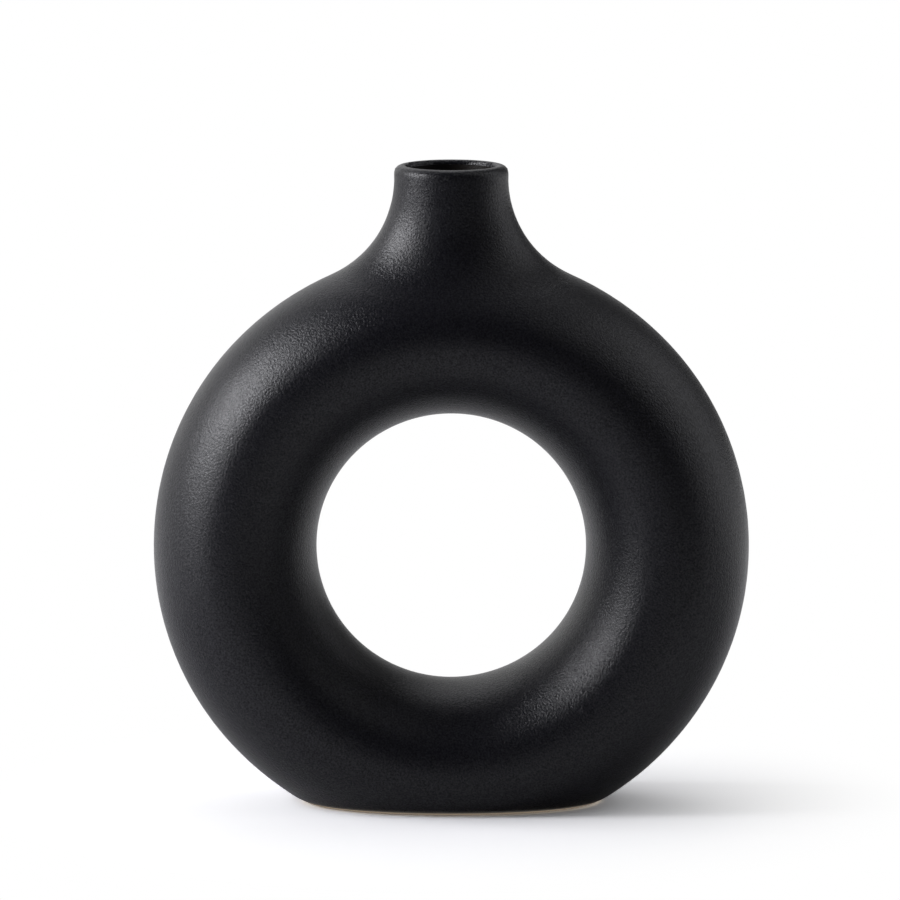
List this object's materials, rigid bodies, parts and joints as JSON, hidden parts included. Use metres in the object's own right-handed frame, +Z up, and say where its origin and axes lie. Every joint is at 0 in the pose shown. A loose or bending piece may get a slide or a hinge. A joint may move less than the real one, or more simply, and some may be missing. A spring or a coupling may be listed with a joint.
{
  "type": "donut vase",
  "caption": "Flower vase shaped as an upright hollow ring on a flat oval foot, with a short flared neck on top, in matt black glazed stoneware.",
  "frame": {"origin": "centre of the foot's underside, on the surface that the vase stands on", "axes": "+Z up through the neck, +X along the width of the ring, the front of the vase towards -Y, so that the ring's own axis is Y"},
  "size_m": [0.22, 0.076, 0.2368],
  "materials": {
    "stoneware": "fired stoneware, fine grog, hidden under the glaze",
    "bare_foot": "bare fired stoneware, sponged smooth, with a brown flash line where the glaze stops",
    "matt_black_glaze": "matt to satin black glaze with a fine pebbled grain",
    "liner_glaze": "satin brown-black glaze, thin"
  },
  "bodies": {
    "root": {"front_shell": "stoneware", "back_shell": "stoneware", "neck_collar": "stoneware", "foot_slab": "bare_foot", "outer_glaze": "matt_black_glaze", "liner_glaze": "liner_glaze"}
  },
  "joints": []
}
